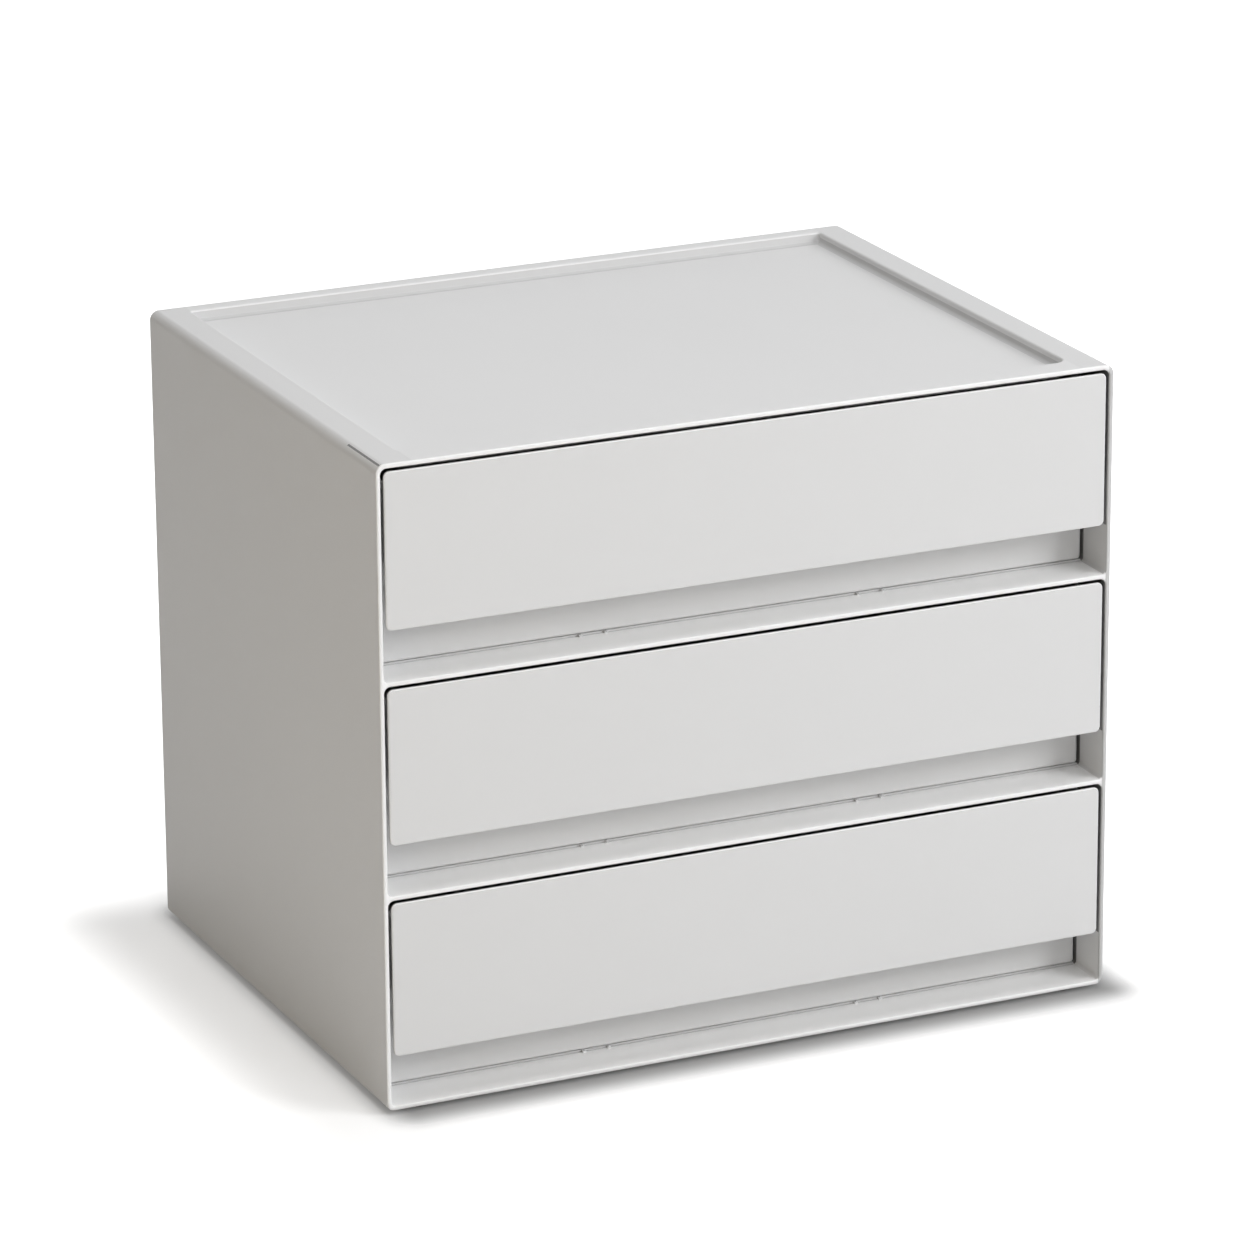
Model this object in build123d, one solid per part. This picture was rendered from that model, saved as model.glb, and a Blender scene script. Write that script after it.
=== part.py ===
from build123d import *
import os

# Desktop organizer with three sliding drawers, in millimetres.
# +Z is up, the drawers face -Y, and the origin is on the floor under the middle of the case.

# Clearances shared by everything that slides or seats
RUN_CLEARANCE = 0.3
SEAT_CLEARANCE = 0.1
SCREW_CLEARANCE = 0.2
OVERRUN = 5.0

# Case: one moulded tube with two shelves
CASE_WIDTH = 320.0
CASE_DEPTH = 244.0
CASE_HEIGHT = 266.0
WALL = 2.0
TOP_CORNER = 4.0
BASE_CORNER = 3.2
BAY_TOP_CORNER = 2.6
BAY_FLOOR_CORNER = 1.7
FRONT_EDGE_CHAMFER = 0.45
REAR_EDGE_CHAMFER = 0.8
DRAWER_NAMES = ("bottom", "middle", "top")

# Recessed tray in the top of the case
TRAY_SIDE_RIM = 15.0
TRAY_FRONT_RIM = 12.0
TRAY_BACK_RIM = 8.0
TRAY_DEPTH = 4.5
TRAY_DRAFT_DEGREES = 12.0
TRAY_FRONT_CORNER = 5.0
TRAY_BACK_CORNER = 1.8
TRAY_COVE = 1.6
TRAY_LIP_ROUND = 0.9

# Guide tracks: a pair of low ribs on each side of every bay floor, behind a low stop sill across the bay
TRACK_OFFSET = 61.0
TRACK_SPACING = 11.0
TRACK_LEAD = 1.0
RIB_WIDTH = 1.2
RIB_HEIGHT = 0.7
SILL_WIDTH = 3.5
SILL_INSET = 1.0

# Back panel, clipped into the rear of the tube
BACK_THICKNESS = 2.0
BACK_INSET = 1.4
BACK_EDGE_CHAMFER = 0.4
BUMPER_DEPTH = 1.2
BUMPER_WIDTH = 3.0
BUMPER_HEIGHT_SHARE = 0.45
CLIP_WIDTH = 12.0
CLIP_HEIGHT = 0.9
CLIP_LENGTH = 1.2
CLIP_PLACE_SHARES = (-0.3, 0.3)

# Rubber feet, pressed into shallow seats
FOOT_DIAMETER = 12.0
FOOT_STAND = 2.0
FOOT_SEAT = 0.6
FOOT_CHAMFER = 0.4
FOOT_INSET_X = 16.0
FOOT_INSET_Y = 10.0

# Drawer front: a flat plate that hangs below the tub's upper wall to make the finger pull
FRONT_GAP = 1.35
FINGER_GAP = 20.7
FRONT_THICKNESS = 2.5
FRONT_CORNER = 2.4
FRONT_ROUND = 0.7
FRONT_LAND = 0.3
FRAME_DEPTH = 6.0
FRAME_WALL = 1.6
FRAME_MARGIN = 3.0
PULL_LIP_DEPTH = 1.8
PULL_LIP_HEIGHT = 4.0
PULL_LIP_ROUND = 0.8
BOSS_DIAMETER = 7.0
SCREW_PLACE_SHARES = (-0.3, 0.3)

# Drawer tub: a tray whose front wall steps back below, so that fingers reach behind the front
DRAWER_TRAVEL = 150.0
TUB_SIDE_GAP = 1.0
TUB_WALL = 2.0
TUB_HEADROOM = 3.0
FINGER_SETBACK = 19.5
FINGER_HOLD = 13.0
STEP_RISE = 12.0
STEP_ROUND = 4.0
TUB_EDGE_ROUND = 1.4
TUB_INNER_ROUND = 1.0
TUB_FOOT_ROUND = 1.2
TUB_BACK_ROUND = 4.0
TUB_RIM_CHAMFER = 0.6
SHOE_LENGTH = 14.0

# Screws that hold a drawer front to its tub
SCREW_DIAMETER = 3.0
SCREW_BITE = 6.5
SCREW_HEAD_DIAMETER = 6.0
SCREW_HEAD_HEIGHT = 2.0
SCREW_HEAD_CHAMFER = 0.8
RECESS_SPAN = 3.2
RECESS_WIDTH = 0.7
RECESS_DEPTH = 1.0

# Places that follow from the sizes above
FRONT_Y = -CASE_DEPTH / 2
BACK_Y = CASE_DEPTH / 2
CASE_BASE = FOOT_STAND
CASE_TOP = CASE_BASE + CASE_HEIGHT
BAY_COUNT = len(DRAWER_NAMES)
BAY_WIDTH = CASE_WIDTH - 2 * WALL
BAY_HEIGHT = (CASE_HEIGHT - (BAY_COUNT + 1) * WALL) / BAY_COUNT
BAY_FLOORS = [CASE_BASE + WALL + row * (BAY_HEIGHT + WALL) for row in range(BAY_COUNT)]
SHELF_END_Y = BACK_Y - BACK_INSET - BACK_THICKNESS
SETBACK_Y = FRONT_Y + FINGER_SETBACK
TRACK_START_Y = SETBACK_Y - TRACK_LEAD
STOP_Y = SETBACK_Y + SILL_INSET + SILL_WIDTH
TRACK_CENTRES = (-TRACK_OFFSET, TRACK_OFFSET)
RIB_PLACES = [x + side * TRACK_SPACING / 2 for x in TRACK_CENTRES for side in (-1, 1)]

FRONT_WIDTH = BAY_WIDTH - 2 * FRONT_GAP
FRONT_HEIGHT = BAY_HEIGHT - FRONT_GAP - FINGER_GAP
FRONT_BEVEL = FRONT_THICKNESS - FRONT_ROUND - FRONT_LAND
TUB_WIDTH = BAY_WIDTH - 2 * TUB_SIDE_GAP
TUB_FLOOR_Z = RIB_HEIGHT + RUN_CLEARANCE
TUB_RIM_Z = BAY_HEIGHT - TRAY_DEPTH - TUB_HEADROOM
TUB_BACK_Y = SHELF_END_Y - BUMPER_DEPTH - RUN_CLEARANCE
UPPER_WALL_Y = FRONT_Y + FRONT_THICKNESS + FRAME_DEPTH
STEP_Z = FINGER_GAP + FINGER_HOLD
FRAME_LOW_Z = STEP_Z + STEP_RISE + FRAME_MARGIN
FRAME_HIGH_Z = TUB_RIM_Z - FRAME_MARGIN
FRAME_WIDTH = TUB_WIDTH - 2 * (TUB_EDGE_ROUND + FRAME_MARGIN)
SCREW_Z = (FRAME_LOW_Z + FRAME_HIGH_Z) / 2
SCREW_XS = [share * FRAME_WIDTH for share in SCREW_PLACE_SHARES]


def block(x_limits, y_limits, z_limits):
    """Box between a low and a high limit on each axis."""
    centre = [sum(limits) / 2 for limits in (x_limits, y_limits, z_limits)]
    size = [high - low for low, high in (x_limits, y_limits, z_limits)]
    return Pos(*centre) * Box(*size)


def rounded_slab(width, y_limits, z_limits, top_radius, base_radius):
    """Slab facing Y, centred on X, with its depth-wise edges rounded above and below."""
    low, high = z_limits
    outline = Rectangle(width, high - low)
    outline = fillet(outline.vertices().group_by(Axis.Y)[-1], top_radius)
    outline = fillet(outline.vertices().group_by(Axis.Y)[0], base_radius)
    slab = extrude(Plane.XZ * outline, amount=(y_limits[1] - y_limits[0]) / 2, both=True)
    return Pos(0, sum(y_limits) / 2, (low + high) / 2) * slab


def rod_along_y(diameter, x, y_limits, z):
    """Round bar along Y."""
    bar = Cylinder(diameter / 2, y_limits[1] - y_limits[0], rotation=(90, 0, 0))
    return Pos(x, sum(y_limits) / 2, z) * bar


def tray_form(grow, depth):
    """Solid that fills the top tray, larger all round by grow, with drafted walls and a coved floor."""
    x_half = CASE_WIDTH / 2 - TRAY_SIDE_RIM + grow
    y_low = FRONT_Y + TRAY_FRONT_RIM - grow
    y_high = BACK_Y - TRAY_BACK_RIM + grow
    outline = Rectangle(2 * x_half, y_high - y_low)
    outline = fillet(outline.vertices().group_by(Axis.Y)[0], TRAY_FRONT_CORNER + grow)
    outline = fillet(outline.vertices().group_by(Axis.Y)[-1], TRAY_BACK_CORNER + grow)
    form = extrude(outline, amount=depth, dir=(0, 0, -1), taper=TRAY_DRAFT_DEGREES)
    form = fillet(form.faces().sort_by(Axis.Z)[0].edges(), TRAY_COVE)
    return Pos(0, (y_low + y_high) / 2, 0) * form


def bay_tracks(floor_z):
    """Guide ribs on a bay floor, with the sill across the bay that stops the drawer's shoes."""
    tracks = []
    z_limits = (floor_z - WALL / 2, floor_z + RIB_HEIGHT)
    for x in RIB_PLACES:
        x_limits = (x - RIB_WIDTH / 2, x + RIB_WIDTH / 2)
        tracks.append(block(x_limits, (TRACK_START_Y, SHELF_END_Y), z_limits))
    sill_half = (BAY_WIDTH + WALL) / 2
    tracks.append(block((-sill_half, sill_half), (STOP_Y - SILL_WIDTH, STOP_Y), z_limits))
    return tracks


def clip_nub():
    """Wedge that the back panel snaps past: flat towards the panel, running out to the rear, pointing up."""
    half = CLIP_WIDTH / 2
    foot = -WALL / 2
    side = Polygon((0, foot), (CLIP_LENGTH, foot), (CLIP_LENGTH, 0), (0, CLIP_HEIGHT), align=None)
    return extrude(Plane.YZ * side, amount=half, both=True)


def back_clips():
    """Clip nubs round the inside of the tube, just behind the back panel."""
    y = BACK_Y - BACK_INSET
    mid_z = CASE_BASE + CASE_HEIGHT / 2
    nubs = []
    for share in CLIP_PLACE_SHARES:
        nubs.append(Pos(share * BAY_WIDTH, y, CASE_BASE + WALL) * clip_nub())
        nubs.append(Pos(share * BAY_WIDTH, y, CASE_TOP - WALL) * Rot(0, 180, 0) * clip_nub())
        nubs.append(Pos(-BAY_WIDTH / 2, y, mid_z + share * CASE_HEIGHT) * Rot(0, 90, 0) * clip_nub())
        nubs.append(Pos(BAY_WIDTH / 2, y, mid_z + share * CASE_HEIGHT) * Rot(0, -90, 0) * clip_nub())
    return nubs


def foot_places():
    """Centre of each foot on the floor, by name."""
    x = CASE_WIDTH / 2 - FOOT_INSET_X
    y = CASE_DEPTH / 2 - FOOT_INSET_Y
    return {
        "foot_front_left": (-x, -y),
        "foot_front_right": (x, -y),
        "foot_rear_left": (-x, y),
        "foot_rear_right": (x, y),
    }


def case_shell():
    """Tube with three bays, the top tray, the guide tracks, the rear clips and the foot seats."""
    shell = rounded_slab(CASE_WIDTH, (FRONT_Y, BACK_Y), (CASE_BASE, CASE_TOP), TOP_CORNER, BASE_CORNER)
    bay_run = (FRONT_Y - OVERRUN, BACK_Y + OVERRUN)
    for floor_z in BAY_FLOORS:
        bay_rise = (floor_z, floor_z + BAY_HEIGHT)
        shell -= rounded_slab(BAY_WIDTH, bay_run, bay_rise, BAY_TOP_CORNER, BAY_FLOOR_CORNER)
    rear_run = (SHELF_END_Y, BACK_Y + OVERRUN)
    inside = (CASE_BASE + WALL, CASE_TOP - WALL)
    shell -= rounded_slab(BAY_WIDTH, rear_run, inside, BAY_TOP_CORNER, BAY_FLOOR_CORNER)
    front_face = shell.faces().sort_by(Axis.Y)[0]
    shell = chamfer(front_face.edges(), FRONT_EDGE_CHAMFER)
    rear_face = shell.faces().sort_by(Axis.Y)[-1]
    shell = chamfer(rear_face.outer_wire().edges(), REAR_EDGE_CHAMFER)

    shell += Pos(0, 0, CASE_TOP - WALL / 2) * tray_form(WALL, TRAY_DEPTH + WALL / 2)
    shell -= Pos(0, 0, CASE_TOP) * tray_form(0, TRAY_DEPTH)
    top_face = shell.faces().sort_by(Axis.Z)[-1]
    shell = fillet(top_face.inner_wires()[0].edges(), TRAY_LIP_ROUND)

    tracks = [track for floor_z in BAY_FLOORS for track in bay_tracks(floor_z)]
    shell = shell + tracks + back_clips()
    seat_radius = FOOT_DIAMETER / 2 + SEAT_CLEARANCE
    for x, y in foot_places().values():
        shell -= Pos(x, y, CASE_BASE + FOOT_SEAT / 2) * Cylinder(seat_radius, FOOT_SEAT)
    return shell


def back_panel():
    """Plate that closes the rear of the tube, with bumpers that set how far each drawer goes in."""
    inside = (CASE_BASE + WALL + SEAT_CLEARANCE, CASE_TOP - WALL - SEAT_CLEARANCE)
    plate_run = (SHELF_END_Y, BACK_Y - BACK_INSET)
    plate = rounded_slab(BAY_WIDTH - 2 * SEAT_CLEARANCE, plate_run, inside, BAY_TOP_CORNER, BAY_FLOOR_CORNER)
    plate = chamfer(plate.faces().sort_by(Axis.Y)[-1].edges(), BACK_EDGE_CHAMFER)
    bumper_run = (SHELF_END_Y - BUMPER_DEPTH, SHELF_END_Y + BACK_THICKNESS / 2)
    half_height = BUMPER_HEIGHT_SHARE * BAY_HEIGHT / 2
    for floor_z in BAY_FLOORS:
        mid_z = floor_z + BAY_HEIGHT / 2
        for x in TRACK_CENTRES:
            x_limits = (x - BUMPER_WIDTH / 2, x + BUMPER_WIDTH / 2)
            plate += block(x_limits, bumper_run, (mid_z - half_height, mid_z + half_height))
    return plate


def foot():
    """Round rubber pad, standing on the floor at the origin."""
    pad = Cylinder(FOOT_DIAMETER / 2, FOOT_STAND + FOOT_SEAT, align=(Align.CENTER, Align.CENTER, Align.MIN))
    return chamfer(pad.edges().group_by(Axis.Z)[0], FOOT_CHAMFER)


def tub_profile(rim_z):
    """Side view of a tub in Y and Z: flat floor, stepped-back front wall, plain back wall."""
    corners = [
        (SETBACK_Y, TUB_FLOOR_Z),
        (SETBACK_Y, STEP_Z),
        (UPPER_WALL_Y, STEP_Z + STEP_RISE),
        (UPPER_WALL_Y, rim_z),
        (TUB_BACK_Y, rim_z),
        (TUB_BACK_Y, TUB_FLOOR_Z),
    ]
    radii = {0: TUB_FOOT_ROUND, 1: STEP_ROUND, 2: STEP_ROUND, 5: TUB_BACK_ROUND}
    profile = Polygon(*corners, align=None)
    for index, radius in radii.items():
        corner = profile.vertices().sort_by_distance((*corners[index], 0))[0]
        profile = fillet(corner, radius)
    return profile


def tub_form(profile, width, edge_round):
    """Profile run across the bay, with the edges of both ends rounded except along the rim."""
    form = extrude(Plane.YZ * profile, amount=width / 2, both=True)
    rim_z = form.bounding_box().max.Z
    ends = form.faces().sort_by(Axis.X)
    edges = ends[0].edges() + ends[-1].edges()
    return fillet([edge for edge in edges if edge.center().Z < rim_z - edge_round], edge_round)


def drawer_tub():
    """Open tray at bay-floor height, with screw holes in front and stop shoes below."""
    tub = tub_form(tub_profile(TUB_RIM_Z), TUB_WIDTH, TUB_EDGE_ROUND)
    hollow = offset(tub_profile(TUB_RIM_Z + OVERRUN), amount=-TUB_WALL)
    tub -= tub_form(hollow, TUB_WIDTH - 2 * TUB_WALL, TUB_INNER_ROUND)
    tub = chamfer(tub.faces().sort_by(Axis.Z)[-1].edges(), TUB_RIM_CHAMFER)

    hole_run = (UPPER_WALL_Y - OVERRUN, UPPER_WALL_Y + TUB_WALL + OVERRUN)
    for x in SCREW_XS:
        tub -= rod_along_y(SCREW_DIAMETER + 2 * SCREW_CLEARANCE, x, hole_run, SCREW_Z)

    shoe_front = STOP_Y + RUN_CLEARANCE + DRAWER_TRAVEL
    shoe_half = (TRACK_SPACING - RIB_WIDTH) / 2 - RUN_CLEARANCE
    for x in TRACK_CENTRES:
        shoe = block(
            (x - shoe_half, x + shoe_half),
            (shoe_front, shoe_front + SHOE_LENGTH),
            (RUN_CLEARANCE, TUB_FLOOR_Z + TUB_WALL / 2),
        )
        rear_edge = shoe.edges().filter_by(Axis.X).group_by(Axis.Y)[-1].sort_by(Axis.Z)[0]
        tub += chamfer(rear_edge, RIB_HEIGHT / 2)
    return tub


def drawer_front():
    """Flat front plate, thinned to its edges, with a mounting frame, bosses and a pull lip on its back."""
    high = BAY_HEIGHT - FRONT_GAP
    low = high - FRONT_HEIGHT
    plate_back = FRONT_Y + FRONT_THICKNESS
    plate = rounded_slab(FRONT_WIDTH, (FRONT_Y, plate_back), (low, high), FRONT_CORNER, FRONT_CORNER)
    plate = fillet(plate.faces().sort_by(Axis.Y)[0].edges(), FRONT_ROUND)
    plate = chamfer(plate.faces().sort_by(Axis.Y)[-1].edges(), FRONT_BEVEL)

    lip_half = FRONT_WIDTH / 2 - FRONT_CORNER
    lip_run = (FRONT_Y + FRONT_ROUND, plate_back + PULL_LIP_DEPTH)
    lip = block((-lip_half, lip_half), lip_run, (low, low + PULL_LIP_HEIGHT))
    lip = fillet(lip.edges().filter_by(Axis.X).group_by(Axis.Y)[-1], PULL_LIP_ROUND)

    frame_run = (plate_back - FRONT_THICKNESS / 2, UPPER_WALL_Y)
    frame = block((-FRAME_WIDTH / 2, FRAME_WIDTH / 2), frame_run, (FRAME_LOW_Z, FRAME_HIGH_Z))
    opening_half = FRAME_WIDTH / 2 - FRAME_WALL
    opening_run = (frame_run[0] - OVERRUN, frame_run[1] + OVERRUN)
    frame -= block(
        (-opening_half, opening_half), opening_run, (FRAME_LOW_Z + FRAME_WALL, FRAME_HIGH_Z - FRAME_WALL)
    )
    front = plate + lip + frame
    for x in SCREW_XS:
        front += rod_along_y(BOSS_DIAMETER, x, frame_run, SCREW_Z)
    pilot_run = (UPPER_WALL_Y - SCREW_BITE - SCREW_CLEARANCE, UPPER_WALL_Y)
    for x in SCREW_XS:
        front -= rod_along_y(SCREW_DIAMETER + 2 * SCREW_CLEARANCE, x, pilot_run, SCREW_Z)
    return front


def front_screws():
    """Pan-head screws, driven forward from inside the tub into the bosses of the front."""
    seat_y = UPPER_WALL_Y + TUB_WALL
    crown_y = seat_y + SCREW_HEAD_HEIGHT
    screws = []
    for x in SCREW_XS:
        head = rod_along_y(SCREW_HEAD_DIAMETER, x, (seat_y, crown_y), SCREW_Z)
        head = chamfer(head.edges().group_by(Axis.Y)[-1], SCREW_HEAD_CHAMFER)
        recess_run = (crown_y - RECESS_DEPTH, crown_y)
        wide, thin = RECESS_SPAN / 2, RECESS_WIDTH / 2
        for x_half, z_half in ((wide, thin), (thin, wide)):
            head -= block((x - x_half, x + x_half), recess_run, (SCREW_Z - z_half, SCREW_Z + z_half))
        shank_run = (UPPER_WALL_Y - SCREW_BITE, seat_y + SCREW_HEAD_HEIGHT / 4)
        screws.append(head + rod_along_y(SCREW_DIAMETER, x, shank_run, SCREW_Z))
    return screws


nodes = {"case_shell": case_shell(), "back_panel": back_panel()}
for name, (x, y) in foot_places().items():
    nodes[name] = Pos(x, y, 0) * foot()

tub = drawer_tub()
front = drawer_front()
screws = front_screws()
for name, floor_z in zip(DRAWER_NAMES, BAY_FLOORS):
    nodes[f"drawer_tub_{name}"] = Pos(0, 0, floor_z) * tub
    nodes[f"drawer_front_{name}"] = Pos(0, 0, floor_z) * front
    nodes[f"front_screws_{name}"] = Compound([Pos(0, 0, floor_z) * screw.solid() for screw in screws])

os.makedirs("parts", exist_ok=True)
for name, shape in nodes.items():
    export_step(shape, f"parts/{name}.step")
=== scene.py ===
"""Desktop organizer with three drawers: finishes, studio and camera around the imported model."""

import logging
import math
from dataclasses import dataclass
from enum import Enum

import bmesh
import bpy
from mathutils import Matrix, Vector


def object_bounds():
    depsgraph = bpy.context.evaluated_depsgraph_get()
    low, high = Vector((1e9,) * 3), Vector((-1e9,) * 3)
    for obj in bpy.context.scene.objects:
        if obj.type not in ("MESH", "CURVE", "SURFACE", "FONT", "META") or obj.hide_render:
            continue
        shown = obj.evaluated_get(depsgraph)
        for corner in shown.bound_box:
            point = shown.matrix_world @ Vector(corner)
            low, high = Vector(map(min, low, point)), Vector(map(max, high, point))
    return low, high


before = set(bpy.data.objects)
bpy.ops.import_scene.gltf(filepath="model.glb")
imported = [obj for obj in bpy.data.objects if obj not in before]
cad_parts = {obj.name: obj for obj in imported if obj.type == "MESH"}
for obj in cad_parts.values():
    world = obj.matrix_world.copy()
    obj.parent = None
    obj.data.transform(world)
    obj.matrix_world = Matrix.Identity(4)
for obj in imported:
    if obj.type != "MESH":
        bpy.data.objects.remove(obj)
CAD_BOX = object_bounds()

LOG = logging.getLogger("organizer")

Colour = tuple[float, float, float]
Place = tuple[float, float, float]
Limits = tuple[float, float]

# Sockets of a colour Mix node, whose names are shared with its number and vector sockets
MIX_LOW = 6
MIX_HIGH = 7
MIX_RESULT = 2

WHITE = (1.0, 1.0, 1.0, 1.0)

# Octaves of the plastic's noises, and the limits of its smooth shading in metres and radians
GRAIN_DETAIL = 3.0
BROAD_DETAIL = 2.0
MERGE_DISTANCE = 1e-6
SHARP_ANGLE = math.radians(50)


class Row(Enum):
    """Drawers, from the desk upwards."""

    BOTTOM = "bottom"
    MIDDLE = "middle"
    TOP = "top"


class Corner(Enum):
    """Places of the feet."""

    FRONT_LEFT = "front_left"
    FRONT_RIGHT = "front_right"
    REAR_LEFT = "rear_left"
    REAR_RIGHT = "rear_right"


class SocketKind(Enum):
    """Kinds of sockets on the node groups."""

    VECTOR = "NodeSocketVector"
    NUMBER = "NodeSocketFloat"
    COLOUR = "NodeSocketColor"
    GEOMETRY = "NodeSocketGeometry"


def add_node(tree: bpy.types.NodeTree, kind: str, **settings: object) -> bpy.types.Node:
    """Adds a node and sets its properties.

    Args:
        tree: Node tree that gets the node.
        kind: Blender's name of the node type.
        settings: Properties of the node and their values.

    Returns:
        The new node.
    """
    node = tree.nodes.new(kind)
    for name, value in settings.items():
        setattr(node, name, value)
    return node


def add_sockets(tree: bpy.types.NodeTree, in_out: str, sockets: dict[str, SocketKind]) -> None:
    """Adds named sockets to a node group.

    Args:
        tree: Node group.
        in_out: INPUT or OUTPUT.
        sockets: Names of the sockets and their kinds.
    """
    for name, kind in sockets.items():
        tree.interface.new_socket(name, in_out=in_out, socket_type=kind.value)


def mouldings_grain() -> bpy.types.NodeTree:
    """Builds the group for spark-eroded plastic: a fine grain with faint, broad changes of tint and gloss.

    Returns:
        The shader node group, made once and shared by the plastic finishes.
    """
    name = "mouldings_grain"
    if name in bpy.data.node_groups:
        return bpy.data.node_groups[name]
    tree = bpy.data.node_groups.new(name, "ShaderNodeTree")
    add_sockets(tree, "INPUT", {
        "Place": SocketKind.VECTOR,
        "Grain Scale": SocketKind.NUMBER,
        "Broad Scale": SocketKind.NUMBER,
        "Low Tint": SocketKind.COLOUR,
        "High Tint": SocketKind.COLOUR,
        "Low Gloss": SocketKind.NUMBER,
        "High Gloss": SocketKind.NUMBER,
    })
    add_sockets(tree, "OUTPUT", {
        "Tint": SocketKind.COLOUR,
        "Roughness": SocketKind.NUMBER,
        "Height": SocketKind.NUMBER,
    })
    given = add_node(tree, "NodeGroupInput")
    result = add_node(tree, "NodeGroupOutput")
    link = tree.links.new

    grain = add_node(tree, "ShaderNodeTexNoise")
    grain.inputs["Detail"].default_value = GRAIN_DETAIL
    link(given.outputs["Place"], grain.inputs["Vector"])
    link(given.outputs["Grain Scale"], grain.inputs["Scale"])
    link(grain.outputs[0], result.inputs["Height"])

    broad = add_node(tree, "ShaderNodeTexNoise")
    broad.inputs["Detail"].default_value = BROAD_DETAIL
    link(given.outputs["Place"], broad.inputs["Vector"])
    link(given.outputs["Broad Scale"], broad.inputs["Scale"])

    tint = add_node(tree, "ShaderNodeMix", data_type="RGBA")
    link(broad.outputs[0], tint.inputs["Factor"])
    link(given.outputs["Low Tint"], tint.inputs[MIX_LOW])
    link(given.outputs["High Tint"], tint.inputs[MIX_HIGH])
    link(tint.outputs[MIX_RESULT], result.inputs["Tint"])

    gloss = add_node(tree, "ShaderNodeMapRange")
    link(grain.outputs[0], gloss.inputs["Value"])
    link(given.outputs["Low Gloss"], gloss.inputs["To Min"])
    link(given.outputs["High Gloss"], gloss.inputs["To Max"])
    link(gloss.outputs["Result"], result.inputs["Roughness"])
    return tree


def tint_patch() -> bpy.types.NodeTree:
    """Builds the group that paints light or shade into the plastic's colour inside a box, such as a painted
    highlight on an edge or painted shade in a recess.

    Returns:
        The shader node group, made once and shared by the case and the drawer fronts.
    """
    name = "tint_patch"
    if name in bpy.data.node_groups:
        return bpy.data.node_groups[name]
    tree = bpy.data.node_groups.new(name, "ShaderNodeTree")
    add_sockets(tree, "INPUT", {
        "Place": SocketKind.VECTOR,
        "Low": SocketKind.VECTOR,
        "High": SocketKind.VECTOR,
        "Tint": SocketKind.COLOUR,
        "Painted Tint": SocketKind.COLOUR,
    })
    add_sockets(tree, "OUTPUT", {"Tint": SocketKind.COLOUR})
    given = add_node(tree, "NodeGroupInput")
    result = add_node(tree, "NodeGroupOutput")
    link = tree.links.new

    # Depth behind each of the box's six faces; the least of them is positive only inside the box
    depths = []
    for larger, smaller in (("Place", "Low"), ("High", "Place")):
        depth = add_node(tree, "ShaderNodeVectorMath", operation="SUBTRACT")
        link(given.outputs[larger], depth.inputs[0])
        link(given.outputs[smaller], depth.inputs[1])
        depths.append(depth)
    least = add_node(tree, "ShaderNodeVectorMath", operation="MINIMUM")
    for depth, socket in zip(depths, least.inputs):
        link(depth.outputs[0], socket)
    split = add_node(tree, "ShaderNodeSeparateXYZ")
    link(least.outputs[0], split.inputs[0])
    inside = split.outputs["X"]
    for axis in ("Y", "Z"):
        lesser = add_node(tree, "ShaderNodeMath", operation="MINIMUM")
        link(inside, lesser.inputs[0])
        link(split.outputs[axis], lesser.inputs[1])
        inside = lesser.outputs[0]
    mask = add_node(tree, "ShaderNodeMath", operation="GREATER_THAN")
    mask.inputs[1].default_value = 0.0
    link(inside, mask.inputs[0])

    mix = add_node(tree, "ShaderNodeMix", data_type="RGBA")
    link(mask.outputs[0], mix.inputs["Factor"])
    link(given.outputs["Tint"], mix.inputs[MIX_LOW])
    link(given.outputs["Painted Tint"], mix.inputs[MIX_HIGH])
    link(mix.outputs[MIX_RESULT], result.inputs["Tint"])
    return tree


@dataclass(frozen=True)
class PaintedLightPatch:
    """Box in which light or shade is painted into a finish, in metres, with its shade relative to the finish.
    """

    low: Place
    high: Place
    shade: float


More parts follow.
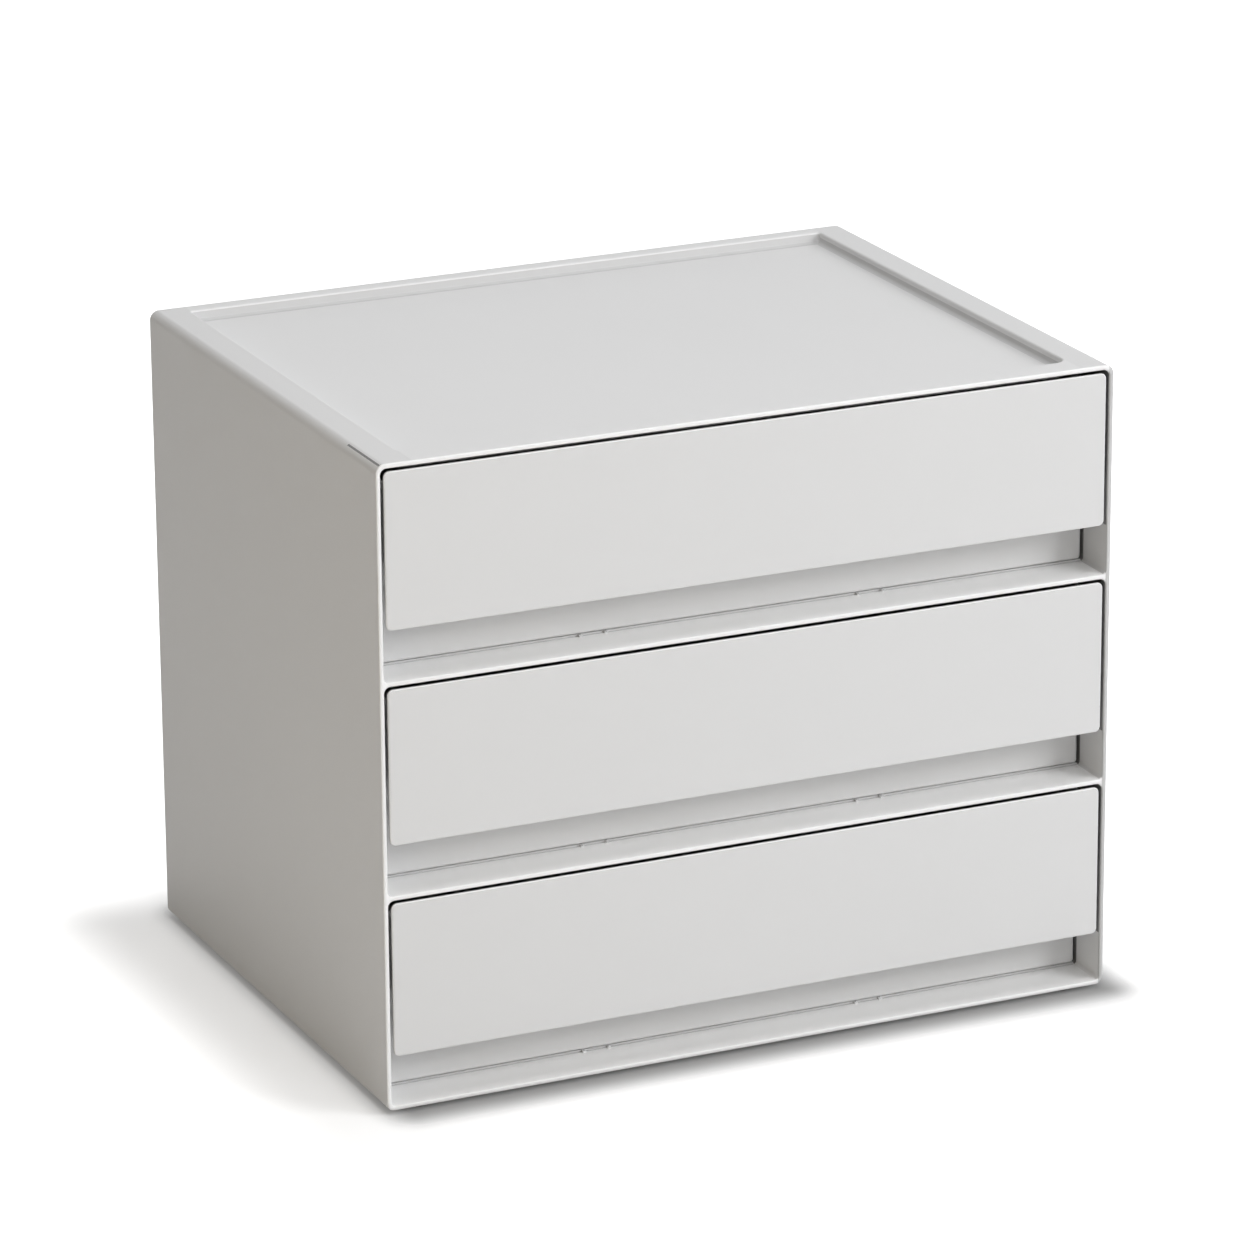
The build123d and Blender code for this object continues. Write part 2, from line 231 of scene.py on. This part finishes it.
@dataclass(frozen=True)
class MouldedFinish:
    """Moulded plastic or rubber with a spark-eroded surface."""

    name: str
    colour: Colour
    tint_spread: float = 0.012
    roughness: float = 0.48
    gloss_spread: float = 0.06
    grain_size: float = 0.0004
    grain_depth: float = 0.000012
    patch_size: float = 0.06
    specular: float = 0.5
    patches: tuple[PaintedLightPatch, ...] = ()

    def shade(self, factor: float) -> tuple[float, float, float, float]:
        """Gives the finish's colour, lighter or darker by a factor, with full alpha."""
        return (*(min(1.0, part * factor) for part in self.colour), 1.0)

    def material(self) -> bpy.types.Material:
        """Builds the finish, or gives the one that is already built.

        Returns:
            The material.
        """
        if self.name in bpy.data.materials:
            return bpy.data.materials[self.name]
        material = bpy.data.materials.new(self.name)
        material.use_nodes = True
        tree = material.node_tree
        link = tree.links.new
        shader = tree.nodes["Principled BSDF"]
        shader.inputs["Specular IOR Level"].default_value = self.specular
        place = add_node(tree, "ShaderNodeTexCoord")
        grain = add_node(tree, "ShaderNodeGroup", node_tree=mouldings_grain())
        grain.inputs["Grain Scale"].default_value = 1.0 / self.grain_size
        grain.inputs["Broad Scale"].default_value = 1.0 / self.patch_size
        grain.inputs["Low Tint"].default_value = self.shade(1.0 - self.tint_spread)
        grain.inputs["High Tint"].default_value = self.shade(1.0 + self.tint_spread)
        grain.inputs["Low Gloss"].default_value = self.roughness - self.gloss_spread
        grain.inputs["High Gloss"].default_value = self.roughness + self.gloss_spread
        link(place.outputs["Object"], grain.inputs["Place"])
        tint = grain.outputs["Tint"]
        # Each patch paints light or shade into the colour inside its box
        for patch in self.patches:
            change = add_node(tree, "ShaderNodeGroup", node_tree=tint_patch())
            change.inputs["Low"].default_value = patch.low
            change.inputs["High"].default_value = patch.high
            change.inputs["Painted Tint"].default_value = self.shade(patch.shade)
            link(place.outputs["Object"], change.inputs["Place"])
            link(tint, change.inputs["Tint"])
            tint = change.outputs["Tint"]
        link(tint, shader.inputs["Base Color"])
        link(grain.outputs["Roughness"], shader.inputs["Roughness"])
        bump = add_node(tree, "ShaderNodeBump")
        bump.inputs["Strength"].default_value = 1.0
        bump.inputs["Distance"].default_value = self.grain_depth
        link(grain.outputs["Height"], bump.inputs["Height"])
        link(bump.outputs["Normal"], shader.inputs["Normal"])
        return material


@dataclass(frozen=True)
class PlatedSteel:
    """Zinc-plated steel with fine turning marks."""

    name: str
    colour: Colour
    roughness: float = 0.32
    gloss_spread: float = 0.3
    mark_size: float = 0.0003

    def material(self) -> bpy.types.Material:
        """Builds the finish, or gives the one that is already built.

        Returns:
            The material.
        """
        if self.name in bpy.data.materials:
            return bpy.data.materials[self.name]
        material = bpy.data.materials.new(self.name)
        material.use_nodes = True
        tree = material.node_tree
        link = tree.links.new
        shader = tree.nodes["Principled BSDF"]
        shader.inputs["Metallic"].default_value = 1.0
        shader.inputs["Base Color"].default_value = (*self.colour, 1.0)
        place = add_node(tree, "ShaderNodeTexCoord")
        marks = add_node(tree, "ShaderNodeTexNoise")
        marks.inputs["Scale"].default_value = 1.0 / self.mark_size
        gloss = add_node(tree, "ShaderNodeMapRange")
        gloss.inputs["To Min"].default_value = self.roughness * (1.0 - self.gloss_spread)
        gloss.inputs["To Max"].default_value = self.roughness * (1.0 + self.gloss_spread)
        link(place.outputs["Object"], marks.inputs["Vector"])
        link(marks.outputs[0], gloss.inputs["Value"])
        link(gloss.outputs["Result"], shader.inputs["Roughness"])
        return material


# Places that the patches follow, in metres
FAR = 1.0
BAY_FLOORS = (0.004, 0.092, 0.180)
FLOOR_SKIN = (-0.0003, 0.0008)
FINGER_RISE = (0.0001, 0.0206)
LEDGE_HALF = 0.1575
LEDGE_FRONT = -0.1216
SETBACK_FOOT = -0.1025
SETBACK_WALL = -0.1026
SILL_BACK = -0.0985
WALL_SKIN = (0.1572, 0.1585)
WALL_FRONT = -0.1213
GAP_BACK = -0.0900
RIGHT_WALL = 0.1578
PANEL_SIDE = (0.1560, FAR)
PANEL_SIDE_FRONT = -0.12110


def bay_strips(half: float, run: Limits, rise: Limits, shades: tuple[float, ...]) -> tuple[PaintedLightPatch, ...]:
    """Gives a patch across each bay, at the same place above its floor.

    Args:
        half: Half of the patch's width.
        run: Front and back of the patch.
        rise: Lower and upper limit above the bay's floor.
        shades: Shade in each bay, from the desk upwards.

    Returns:
        The patches.
    """
    return tuple(
        PaintedLightPatch((-half, run[0], floor + rise[0]), (half, run[1], floor + rise[1]), shade)
        for floor, shade in zip(BAY_FLOORS, shades)
    )


def side_pair(across: Limits, run: Limits, shade: float) -> tuple[PaintedLightPatch, ...]:
    """Gives a patch at the left and its mirror image at the right, over the whole height.

    Args:
        across: Inner and outer limit, from the middle.
        run: Front and back of the patch.
        shade: Shade of both.

    Returns:
        The patches.
    """
    inner, outer = across
    front, back = run
    return (
        PaintedLightPatch((-outer, front, -FAR), (-inner, back, FAR), shade),
        PaintedLightPatch((inner, front, -FAR), (outer, back, FAR), shade),
    )


def all_before(back: float, shade: float, left: float = -FAR) -> PaintedLightPatch:
    """Gives a patch over all that lies in front of a plane and to the right of another."""
    return PaintedLightPatch((left, -FAR, -FAR), (FAR, back, FAR), shade)


# Light and shade painted into the plastic's colour, each in its box; later patches lie over earlier ones
# Painted light: the bay floors in front of the tubs are lighter
LEDGE_PAINTED_LIGHT = bay_strips(LEDGE_HALF, (LEDGE_FRONT, SILL_BACK), FLOOR_SKIN, (1.19, 1.19, 1.19))
# Painted shade: a darker band on each bay floor at the foot of the tub's set-back wall, over the sill
WALL_FOOT_PAINTED_SHADE = bay_strips(LEDGE_HALF, (SETBACK_FOOT, SILL_BACK), FLOOR_SKIN, (0.82, 0.82, 0.82))
# Painted shade: the case's inner side walls beside the fronts and the tubs are dark; as the box spans the
# whole height, it also darkens a strip of the case's rounded top and bottom edges near the front
GAP_WALL_PAINTED_SHADE = side_pair(WALL_SKIN, (WALL_FRONT, GAP_BACK), 0.30)
# Painted shade on the inner side walls in the finger gaps, lying over the darker shade beside the fronts:
# darker in the upper bays, while the lowest bay keeps the finish's own colour
FINGER_WALL_PAINTED_SHADE = bay_strips(WALL_SKIN[1], (WALL_FRONT, SETBACK_WALL), FINGER_RISE, (1.0, 0.86, 0.80))
# Painted shade on the tray's back and right walls, darkest at the foot of the back wall
TRAY_BACK_WALL_PAINTED_SHADE = PaintedLightPatch((-0.1446, 0.1113, 0.2636), (0.1446, 0.1150, 0.2673), 0.76)
TRAY_BACK_FOOT_PAINTED_SHADE = PaintedLightPatch((-0.1446, 0.1113, 0.2634), (0.1446, 0.1135, 0.2644), 0.68)
TRAY_RIGHT_WALL_PAINTED_SHADE = PaintedLightPatch((0.1424, -0.1100, 0.2634), (0.1447, 0.1113, 0.2660), 0.76)
# Painted shade on the tray's left and right rims
TRAY_LEFT_RIM_PAINTED_SHADE = PaintedLightPatch((-FAR, -0.1210, 0.2676), (-0.1447, 0.1210, 0.2690), 0.94)
TRAY_RIGHT_RIM_PAINTED_SHADE = PaintedLightPatch((0.1452, -0.1210, 0.2676), (FAR, 0.1210, 0.2690), 0.95)
# Painted highlight on the case's rounded front edges, and painted light on its flat front faces
CASE_ROUNDS_PAINTED_HIGHLIGHT = all_before(-0.12156, 1.19)
CASE_FACE_PAINTED_LIGHT = all_before(-0.12197, 1.14)
# Painted shade on the front face and edges of the case's right wall
CASE_RIGHT_EDGE_PAINTED_SHADE = all_before(WALL_FRONT, 0.72, left=RIGHT_WALL)
# Painted shade on the fronts' sides, behind their front edges
PANEL_SIDES_PAINTED_SHADE = side_pair(PANEL_SIDE, (PANEL_SIDE_FRONT, FAR), 0.60)
# Painted highlight on the fronts' rounded front edges; the flat front face keeps the finish's own colour
PANEL_ROUNDS_PAINTED_HIGHLIGHT = all_before(-0.12130, 1.24)
PANEL_FACE = all_before(-0.12192, 1.0)

# The case, the fronts and the tubs are one light grey plastic; their colours differ as painted light, the
# case lightest and the fronts darkest, so that the tray, the ledges and the tubs' walls come out bright
# beside the fronts
CASE_PLASTIC = MouldedFinish(
    "case_plastic",
    (0.838, 0.84, 0.843),
    specular=0.4,
    patches=(
        *LEDGE_PAINTED_LIGHT, *WALL_FOOT_PAINTED_SHADE, *GAP_WALL_PAINTED_SHADE, *FINGER_WALL_PAINTED_SHADE,
        TRAY_BACK_WALL_PAINTED_SHADE, TRAY_BACK_FOOT_PAINTED_SHADE, TRAY_RIGHT_WALL_PAINTED_SHADE, TRAY_LEFT_RIM_PAINTED_SHADE, TRAY_RIGHT_RIM_PAINTED_SHADE,
        CASE_ROUNDS_PAINTED_HIGHLIGHT, CASE_FACE_PAINTED_LIGHT, CASE_RIGHT_EDGE_PAINTED_SHADE,
    ),
)
FRONT_PLASTIC = MouldedFinish(
    "front_plastic", (0.735, 0.737, 0.740), patches=(*PANEL_SIDES_PAINTED_SHADE, PANEL_ROUNDS_PAINTED_HIGHLIGHT, PANEL_FACE)
)
TUB_PLASTIC = MouldedFinish("tub_plastic", (0.79, 0.79, 0.79))
FOOT_RUBBER = MouldedFinish("foot_rubber", (0.03, 0.03, 0.03), roughness=0.8, specular=0.3)
SCREW_STEEL = PlatedSteel("screw_steel", (0.60, 0.60, 0.61))


def soft_shading() -> bpy.types.NodeTree:
    """Builds the modifier group that joins a node's triangles and shades them smooth between sharp edges.

    Returns:
        The geometry node group, made once.
    """
    name = "soft_shading"
    if name in bpy.data.node_groups:
        return bpy.data.node_groups[name]
    tree = bpy.data.node_groups.new(name, "GeometryNodeTree")
    add_sockets(tree, "INPUT", {"Geometry": SocketKind.GEOMETRY})
    add_sockets(tree, "OUTPUT", {"Geometry": SocketKind.GEOMETRY})
    given = add_node(tree, "NodeGroupInput")
    result = add_node(tree, "NodeGroupOutput")
    merge = add_node(tree, "GeometryNodeMergeByDistance")
    merge.inputs["Distance"].default_value = MERGE_DISTANCE
    smooth = add_node(tree, "GeometryNodeSetShadeSmooth", domain="FACE")
    crease = add_node(tree, "GeometryNodeSetShadeSmooth", domain="EDGE")
    crease.inputs["Shade Smooth"].default_value = False
    angle = add_node(tree, "GeometryNodeInputMeshEdgeAngle")
    sharp = add_node(tree, "ShaderNodeMath", operation="GREATER_THAN")
    sharp.inputs[1].default_value = SHARP_ANGLE
    link = tree.links.new
    link(given.outputs[0], merge.inputs["Geometry"])
    link(merge.outputs[0], smooth.inputs["Geometry"])
    link(smooth.outputs[0], crease.inputs["Geometry"])
    link(angle.outputs["Unsigned Angle"], sharp.inputs[0])
    link(sharp.outputs[0], crease.inputs["Selection"])
    link(crease.outputs[0], result.inputs[0])
    return tree


def dress(node_name: str, finish: MouldedFinish | PlatedSteel) -> None:
    """Gives a node of the model its finish and smooth shading over its rounds.

    Args:
        node_name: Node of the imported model.
        finish: Finish of the whole node.
    """
    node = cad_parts[node_name]
    node.data.materials.clear()
    node.data.materials.append(finish.material())
    shading = node.modifiers.new("soft_shading", "NODES")
    shading.node_group = soft_shading()
    weighted = node.modifiers.new("flat_faces", "WEIGHTED_NORMAL")
    weighted.mode = "FACE_AREA"
    weighted.keep_sharp = True
    LOG.info("%s dressed as %s", node_name, finish.name)


@dataclass
class Case:
    """Moulded case with its back panel and feet."""

    shell: str = "case_shell"
    back: str = "back_panel"

    def dress(self) -> None:
        """Dresses the shell, the back panel and the feet."""
        dress(self.shell, CASE_PLASTIC)
        dress(self.back, CASE_PLASTIC)
        for corner in Corner:
            dress(f"foot_{corner.value}", FOOT_RUBBER)


@dataclass
class Drawer:
    """One drawer: its tub, its front and the screws between them."""

    row: Row

    def dress(self) -> None:
        """Dresses the tub, the front and the screws."""
        dress(f"drawer_tub_{self.row.value}", TUB_PLASTIC)
        dress(f"drawer_front_{self.row.value}", FRONT_PLASTIC)
        dress(f"front_screws_{self.row.value}", SCREW_STEEL)


def direction(azimuth: float, elevation: float) -> Vector:
    """Gives the direction from the object to a lamp or camera.

    Args:
        azimuth: Degrees to the right of the object's front.
        elevation: Degrees above the floor.

    Returns:
        The direction, of length 1.
    """
    turn, lift = math.radians(azimuth), math.radians(elevation)
    return Vector((math.sin(turn) * math.cos(lift), -math.cos(turn) * math.cos(lift), math.sin(lift)))


@dataclass(frozen=True)
class SoftBox:
    """A square studio lamp that faces the object, with its direction in degrees and its sizes in metres."""

    name: str
    azimuth: float
    elevation: float
    distance: float
    size: float
    strength: float
    colour: Colour = (1.0, 1.0, 1.0)
    mirrored: bool = True
    aim_height: float = 0.13

    def build(self) -> None:
        """Builds the lamp. Its strength is the light that reaches the object, whatever its distance."""
        lamp = bpy.data.lights.new(self.name, "AREA")
        lamp.shape = "SQUARE"
        lamp.size = self.size
        lamp.color = self.colour
        lamp.energy = self.strength * math.pi * self.distance**2
        lamp_object = bpy.data.objects.new(self.name, lamp)
        bpy.context.scene.collection.objects.link(lamp_object)
        source = direction(self.azimuth, self.elevation)
        lamp_object.location = source * self.distance + Vector((0.0, 0.0, self.aim_height))
        lamp_object.rotation_mode = "QUATERNION"
        lamp_object.rotation_quaternion = source.to_track_quat("Z", "Y")
        lamp_object.visible_glossy = self.mirrored


LIGHTS = (
    SoftBox("key", azimuth=45.0, elevation=26.0, distance=2.8, size=1.3, strength=1.55),
    SoftBox("front_low", azimuth=5.0, elevation=10.0, distance=3.0, size=1.6, strength=0.25),
    SoftBox("front_high", azimuth=0.0, elevation=42.0, distance=3.0, size=1.6, strength=0.62),
    SoftBox("overhead", azimuth=0.0, elevation=86.0, distance=2.6, size=1.6, strength=1.15),
    SoftBox(
        "left_fill", azimuth=-62.0, elevation=12.0, distance=1.0, size=0.7, strength=0.174,
        colour=(1.0, 0.71, 0.28),
    ),
    SoftBox("rear_fill", azimuth=172.0, elevation=20.0, distance=3.0, size=2.0, strength=0.6, mirrored=False),
)


def seen_directly(tree: bpy.types.NodeTree) -> bpy.types.NodeSocket:
    """Adds nodes that tell rays that show the background from rays that only light the object.

    Args:
        tree: Shader tree of the floor or the world.

    Returns:
        A socket that is 1 for camera, glossy and transmission rays, and 0 for others.
    """
    path = add_node(tree, "ShaderNodeLightPath")
    total = path.outputs["Is Camera Ray"]
    for name in ("Is Glossy Ray", "Is Transmission Ray"):
        larger = add_node(tree, "ShaderNodeMath", operation="MAXIMUM")
        tree.links.new(total, larger.inputs[0])
        tree.links.new(path.outputs[name], larger.inputs[1])
        total = larger.outputs[0]
    return total


@dataclass(frozen=True)
class Footprint:
    """Outline of the object's base on the floor, its left side and front moved outwards, in metres."""

    left: float
    front: float

    def distance(self, tree: bpy.types.NodeTree) -> bpy.types.NodeSocket:
        """Adds nodes that measure how far a place on the floor is from the outline.

        Args:
            tree: Shader tree of the floor.

        Returns:
            A socket with the distance in metres, 0 inside the outline.
        """
        low, high = (Vector(corner) for corner in CAD_BOX)
        low.x -= self.left
        low.y -= self.front
        middle = (low + high) / 2
        half = (high - low) / 2
        place = add_node(tree, "ShaderNodeTexCoord")
        centred = add_node(tree, "ShaderNodeVectorMath", operation="SUBTRACT")
        centred.inputs[1].default_value = (middle.x, middle.y, 0.0)
        mirrored = add_node(tree, "ShaderNodeVectorMath", operation="ABSOLUTE")
        outside = add_node(tree, "ShaderNodeVectorMath", operation="SUBTRACT")
        outside.inputs[1].default_value = (half.x, half.y, FAR)
        clipped = add_node(tree, "ShaderNodeVectorMath", operation="MAXIMUM")
        clipped.inputs[1].default_value = (0.0, 0.0, 0.0)
        distance = add_node(tree, "ShaderNodeVectorMath", operation="LENGTH")
        steps = (centred, mirrored, outside, clipped, distance)
        tree.links.new(place.outputs["Object"], centred.inputs[0])
        for before, after in zip(steps, steps[1:]):
            tree.links.new(before.outputs[0], after.inputs[0])
        return distance.outputs["Value"]


@dataclass(frozen=True)
class FloorRamp:
    """Smooth change over the floor, from a value at the object's base to another at a distance of reach."""

    base: Footprint
    reach: float
    near: float
    far: float

    def build(self, tree: bpy.types.NodeTree) -> bpy.types.NodeSocket:
        """Adds the change to a shader tree.

        Args:
            tree: Shader tree of the floor.

        Returns:
            A socket with the value.
        """
        change = add_node(tree, "ShaderNodeMapRange", interpolation_type="SMOOTHSTEP")
        change.inputs["From Max"].default_value = self.reach
        change.inputs["To Min"].default_value = self.near
        change.inputs["To Max"].default_value = self.far
        tree.links.new(self.base.distance(tree), change.inputs["Value"])
        return change.outputs["Result"]


# Outline around which the painted contact shadow lies, drawn in at the left side; the wider outline, reaching
# out to the left and in front over the drawers' travel, is where the lamps' shadow shows
CONTACT = Footprint(left=-0.012, front=0.0)
CAST_SHADE = Footprint(left=0.02, front=0.15)


@dataclass
class Studio:
    """Pale floor, white surroundings and lamps."""

    floor_half: float = 6.0
    floor_drop: float = 0.0001
    # Painted contact shadow: the floor's colour darkens towards the object's base
    paper_with_painted_shadow: FloorRamp = FloorRamp(CONTACT, reach=0.021, near=0.34, far=0.88)
    # Glow seen only to the eye and in reflections; held back close to the base it adds to the painted contact
    # shadow, and held back where the lamps' shadow falls it lets that shadow show
    near_glow: FloorRamp = FloorRamp(CONTACT, reach=0.021, near=0.08, far=0.36)
    far_glow: FloorRamp = FloorRamp(CAST_SHADE, reach=0.06, near=0.0, far=0.64)

    def floor_paper(self) -> bpy.types.Material:
        """Builds the floor's finish, which shows white further out and keeps the object's shadow: the lamps'
        own shadow, and a painted contact shadow close to the base.

        Returns:
            The material.
        """
        material = bpy.data.materials.new("floor_paper")
        material.use_nodes = True
        tree = material.node_tree
        link = tree.links.new
        shader = tree.nodes["Principled BSDF"]
        shader.inputs["Roughness"].default_value = 1.0
        shader.inputs["Specular IOR Level"].default_value = 0.0
        shader.inputs["Emission Color"].default_value = WHITE
        grey = add_node(tree, "ShaderNodeCombineColor")
        tone = self.paper_with_painted_shadow.build(tree)
        for socket in grey.inputs:
            link(tone, socket)
        link(grey.outputs[0], shader.inputs["Base Color"])
        glow = add_node(tree, "ShaderNodeMath", operation="ADD")
        link(self.near_glow.build(tree), glow.inputs[0])
        link(self.far_glow.build(tree), glow.inputs[1])
        seen = add_node(tree, "ShaderNodeMath", operation="MULTIPLY")
        link(seen_directly(tree), seen.inputs[0])
        link(glow.outputs[0], seen.inputs[1])
        link(seen.outputs[0], shader.inputs["Emission Strength"])
        return material

    def build_floor(self) -> None:
        """Builds the floor, just below the feet."""
        mesh = bpy.data.meshes.new("studio_floor")
        shape = bmesh.new()
        bmesh.ops.create_grid(shape, x_segments=1, y_segments=1, size=self.floor_half)
        bmesh.ops.translate(shape, verts=shape.verts, vec=(0.0, 0.0, -self.floor_drop))
        shape.to_mesh(mesh)
        shape.free()
        mesh.materials.append(self.floor_paper())
        floor = bpy.data.objects.new("studio_floor", mesh)
        bpy.context.scene.collection.objects.link(floor)

    def build_world(self) -> None:
        """Builds the surroundings: white to the eye and in reflections, with no other light on the object."""
        world = bpy.data.worlds.new("studio_world")
        bpy.context.scene.world = world
        world.use_nodes = True
        tree = world.node_tree
        background = tree.nodes["Background"]
        background.inputs["Color"].default_value = WHITE
        tree.links.new(seen_directly(tree), background.inputs["Strength"])

    def build(self) -> None:
        """Builds the floor, the surroundings and the lamps."""
        self.build_floor()
        self.build_world()
        for light in LIGHTS:
            light.build()
        bpy.context.scene.view_settings.view_transform = "Standard"


@dataclass(frozen=True)
class Viewpoint:
    """Camera at the photograph's viewing angle, in degrees and metres, its lens and sensor in millimetres."""

    aim: Place = (-0.0203, -0.0458, 0.1603)
    azimuth: float = -24.55
    elevation: float = 18.36
    roll: float = -0.36
    distance: float = 2.6
    focal_length: float = 184.45
    sensor: float = 36.0

    def build(self) -> None:
        """Builds the camera and makes it the scene's own."""
        back = direction(self.azimuth, self.elevation)
        data = bpy.data.cameras.new("viewpoint")
        data.lens = self.focal_length
        data.sensor_width = self.sensor
        camera = bpy.data.objects.new("viewpoint", data)
        bpy.context.scene.collection.objects.link(camera)
        level = back.to_track_quat("Z", "Y").to_matrix().to_4x4()
        rolled = level @ Matrix.Rotation(math.radians(self.roll), 4, "Z")
        camera.matrix_world = Matrix.Translation(Vector(self.aim) + back * self.distance) @ rolled
        bpy.context.scene.camera = camera


def main() -> None:
    """Dresses the organizer and builds the studio around it."""
    logging.basicConfig(level=logging.INFO, format="%(name)s: %(message)s")
    Case().dress()
    for row in Row:
        Drawer(row).dress()
    Studio().build()
    Viewpoint().build()


if __name__ == "__main__":
    main()
